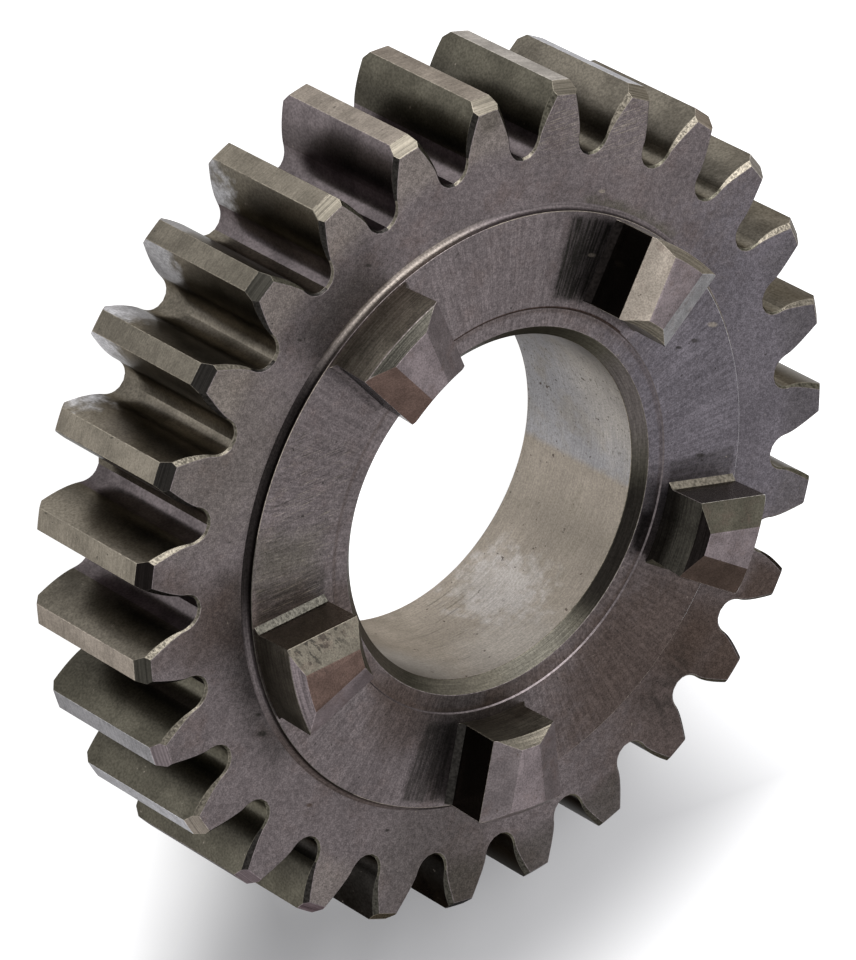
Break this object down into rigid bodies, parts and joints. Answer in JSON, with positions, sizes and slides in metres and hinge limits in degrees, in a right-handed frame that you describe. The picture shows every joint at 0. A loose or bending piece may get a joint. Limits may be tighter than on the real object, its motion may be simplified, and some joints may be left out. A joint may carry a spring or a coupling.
{
  "type": "transmission gear",
  "caption": "Steel spur gear with a smooth running bore and square driving dogs on one face, for a gearbox whose gears lock to their shaft.",
  "frame": {"origin": "on the bore axis, in the plane of the flat back face that it rests on", "axes": "+Z runs along the bore axis towards the face with the dogs, and +X runs through the middle of one dog"},
  "size_m": [0.0729, 0.0729, 0.0201],
  "materials": {
    "gear_steel": "case-hardened and ground steel, oil-stained brownish grey with fine machining lines, bright worn edges and dark tooth flanks"
  },
  "bodies": {
    "root": {"gear": "gear_steel"}
  },
  "joints": []
}
